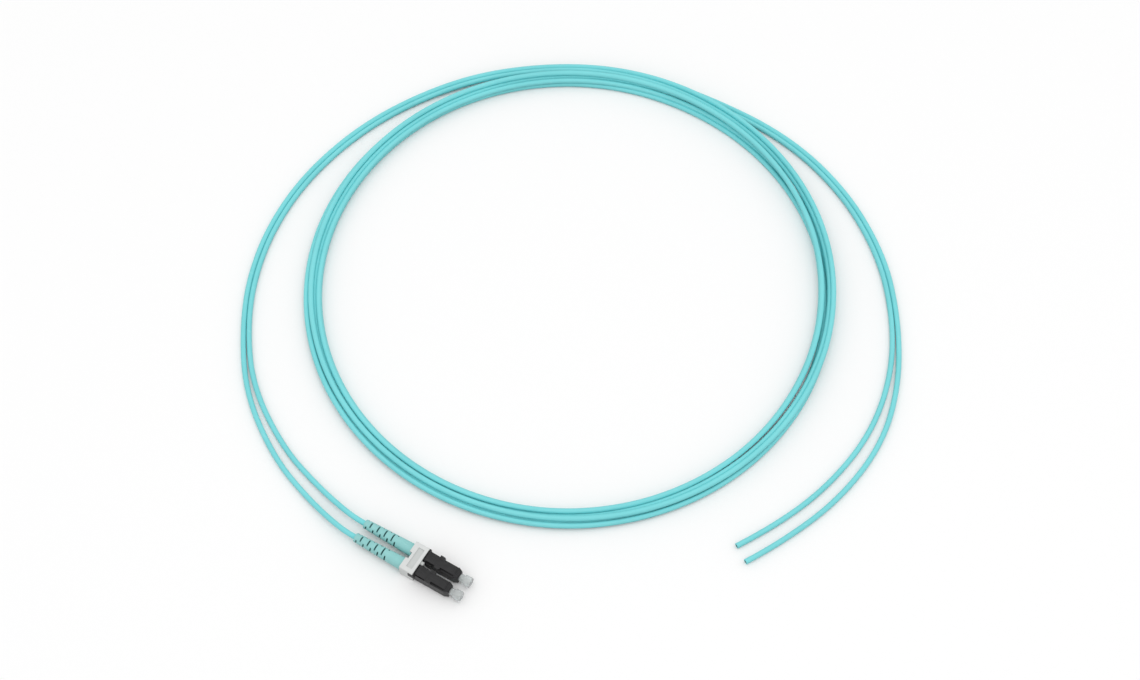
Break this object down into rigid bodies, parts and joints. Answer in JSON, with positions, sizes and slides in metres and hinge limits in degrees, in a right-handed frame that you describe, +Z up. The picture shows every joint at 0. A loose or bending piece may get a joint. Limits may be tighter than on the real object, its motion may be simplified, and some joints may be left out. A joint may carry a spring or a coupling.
{
  "type": "duplex fiber optic pigtail",
  "caption": "Coiled duplex fibre cord with a clipped pair of latching plugs under dust caps at one end and two bare cut ends at the other.",
  "frame": {"origin": "middle of the connector's footprint on the surface it lies on", "axes": "+X out of the plugs' noses, +Y towards the left plug, +Z up"},
  "size_m": [0.2493, 0.2414, 0.0062],
  "materials": {
    "jacket_aqua": "satin extruded jacket",
    "boot_aqua": "matte moulded",
    "clip_white": "satin moulded",
    "housing_black": "satin moulded",
    "latch_black": "satin moulded",
    "cap_clear": "translucent",
    "ferrule_ceramic": "polished ceramic",
    "flange_metal": "nickel plated",
    "spring_steel": "drawn wire",
    "post_metal": "nickel plated",
    "sleeve_metal": "crimped",
    "yarn_yellow": "aramid yarn",
    "fibre_white": "buffer coating",
    "fibre_core": "cut end"
  },
  "bodies": {
    "base": {"duplex_clip": "clip_white", "plug_housing_left": "housing_black", "plug_housing_right": "housing_black", "ferrule_spring_left": "spring_steel", "ferrule_spring_right": "spring_steel", "crimp_post_left": "post_metal", "crimp_post_right": "post_metal", "aramid_band_left": "yarn_yellow", "aramid_band_right": "yarn_yellow", "crimp_sleeve_left": "sleeve_metal", "crimp_sleeve_right": "sleeve_metal", "boot_left": "boot_aqua", "boot_right": "boot_aqua", "buffered_fibre_left": "fibre_white", "buffered_fibre_right": "fibre_white", "jacket_lead_left": "jacket_aqua", "jacket_lead_right": "jacket_aqua", "jacket_coil_left": "jacket_aqua", "jacket_coil_right": "jacket_aqua", "jacket_tail_left": "jacket_aqua", "jacket_tail_right": "jacket_aqua", "tail_fibre_left": "fibre_core", "tail_fibre_right": "fibre_core"},
    "latch_left": {"latch_lever_left": "latch_black"},
    "cap_left": {"dust_cap_left": "cap_clear"},
    "contact_left": {"ferrule_left": "ferrule_ceramic", "ferrule_flange_left": "flange_metal"},
    "latch_right": {"latch_lever_right": "latch_black"},
    "cap_right": {"dust_cap_right": "cap_clear"},
    "contact_right": {"ferrule_right": "ferrule_ceramic", "ferrule_flange_right": "flange_metal"}
  },
  "joints": [
    {"name": "latch_press_left", "type": "hinge", "parent": "base", "child": "latch_left", "pos_m": [0.01614, 0.00313, 0.00476], "axis": [0, -1, 0], "range_deg": [0, 4.4], "stiffness_Nm_per_rad": 0.3},
    {"name": "cap_pull_left", "type": "slide", "parent": "base", "child": "cap_left", "axis": [1, 0, 0], "range_m": [0, 0.01]},
    {"name": "ferrule_float_left", "type": "slide", "parent": "base", "child": "contact_left", "axis": [-1, 0, 0], "range_m": [0, 0.0015], "stiffness_N_per_m": 1200, "deforming": ["ferrule_spring_left"]},
    {"name": "latch_press_right", "type": "hinge", "parent": "base", "child": "latch_right", "pos_m": [0.01614, -0.00313, 0.00476], "axis": [0, -1, 0], "range_deg": [0, 4.4], "stiffness_Nm_per_rad": 0.3},
    {"name": "cap_pull_right", "type": "slide", "parent": "base", "child": "cap_right", "axis": [1, 0, 0], "range_m": [0, 0.01]},
    {"name": "ferrule_float_right", "type": "slide", "parent": "base", "child": "contact_right", "axis": [-1, 0, 0], "range_m": [0, 0.0015], "stiffness_N_per_m": 1200, "deforming": ["ferrule_spring_right"]}
  ]
}
